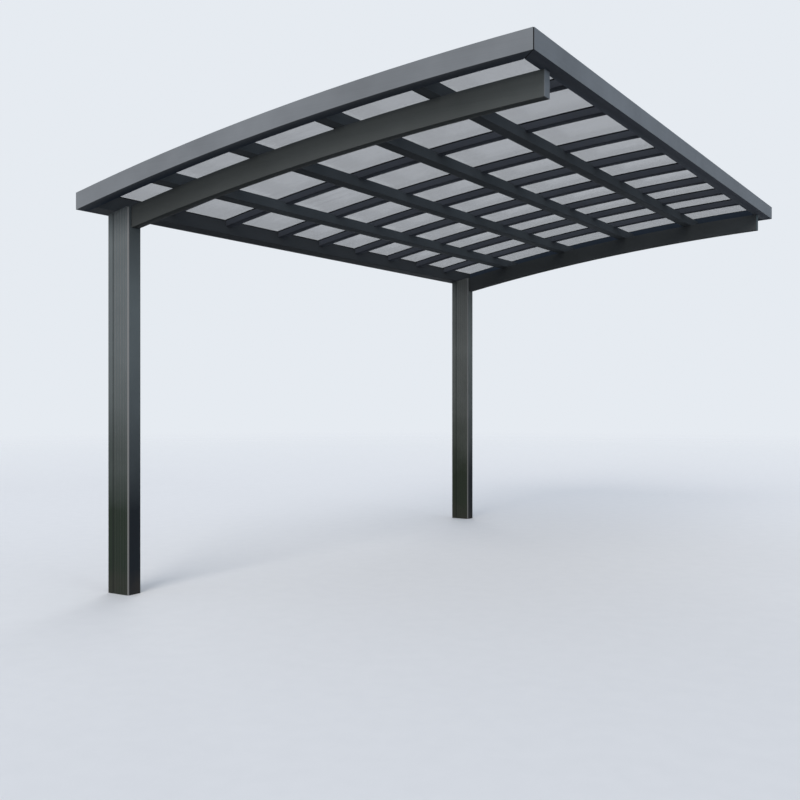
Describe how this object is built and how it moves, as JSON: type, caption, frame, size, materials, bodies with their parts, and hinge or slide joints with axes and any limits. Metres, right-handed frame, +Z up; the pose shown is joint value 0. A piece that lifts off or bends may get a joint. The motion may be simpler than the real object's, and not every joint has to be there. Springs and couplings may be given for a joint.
{
  "type": "cantilever carport",
  "caption": "Open-sided carport: an arched roof of smoke-tinted sheets in a dark aluminium frame, carried on curved beams that cantilever from posts along the gutter side.",
  "frame": {"origin": "middle of the front post's foot, on the ground", "axes": "+X from the posts toward the free edge of the roof, +Y from the front to the rear along the gutter, +Z up"},
  "size_m": [3, 4.97, 2.8552],
  "materials": {
    "post_coat": "anthracite powder coat on aluminium, fine texture, satin",
    "beam_coat": "anthracite powder coat on aluminium, fine texture, satin",
    "frame_coat": "anthracite powder coat on aluminium, fine texture, satin",
    "grid_coat": "anthracite powder coat on aluminium, fine texture, satin",
    "roof_sheet": "clear smoke-grey solid sheet, slightly glossy"
  },
  "bodies": {
    "root": {"bar_caps": "frame_coat", "free_edge_frame": "frame_coat", "front_beam": "beam_coat", "front_beam_cap": "beam_coat", "front_beam_root_plate": "frame_coat", "front_corner_cleat": "frame_coat", "front_fascia": "frame_coat", "front_fascia_cap": "frame_coat", "front_post": "post_coat", "front_post_head": "frame_coat", "glazing_bar_1": "grid_coat", "glazing_bar_2": "grid_coat", "glazing_bar_3": "grid_coat", "glazing_bar_4": "grid_coat", "glazing_bar_5": "grid_coat", "glazing_bar_6": "grid_coat", "glazing_bar_7": "grid_coat", "glazing_bar_8": "grid_coat", "gutter": "frame_coat", "purlin_1": "grid_coat", "purlin_2": "grid_coat", "purlin_3": "grid_coat", "purlin_4": "grid_coat", "rear_beam": "beam_coat", "rear_beam_cap": "beam_coat", "rear_beam_root_plate": "frame_coat", "rear_corner_cleat": "frame_coat", "rear_fascia": "frame_coat", "rear_fascia_cap": "frame_coat", "rear_post": "post_coat", "rear_post_head": "frame_coat", "roof_panel_1": "roof_sheet", "roof_panel_2": "roof_sheet", "roof_panel_3": "roof_sheet", "roof_panel_4": "roof_sheet", "roof_panel_5": "roof_sheet", "roof_panel_6": "roof_sheet", "roof_panel_7": "roof_sheet", "roof_panel_8": "roof_sheet", "roof_panel_9": "roof_sheet"}
  },
  "joints": []
}
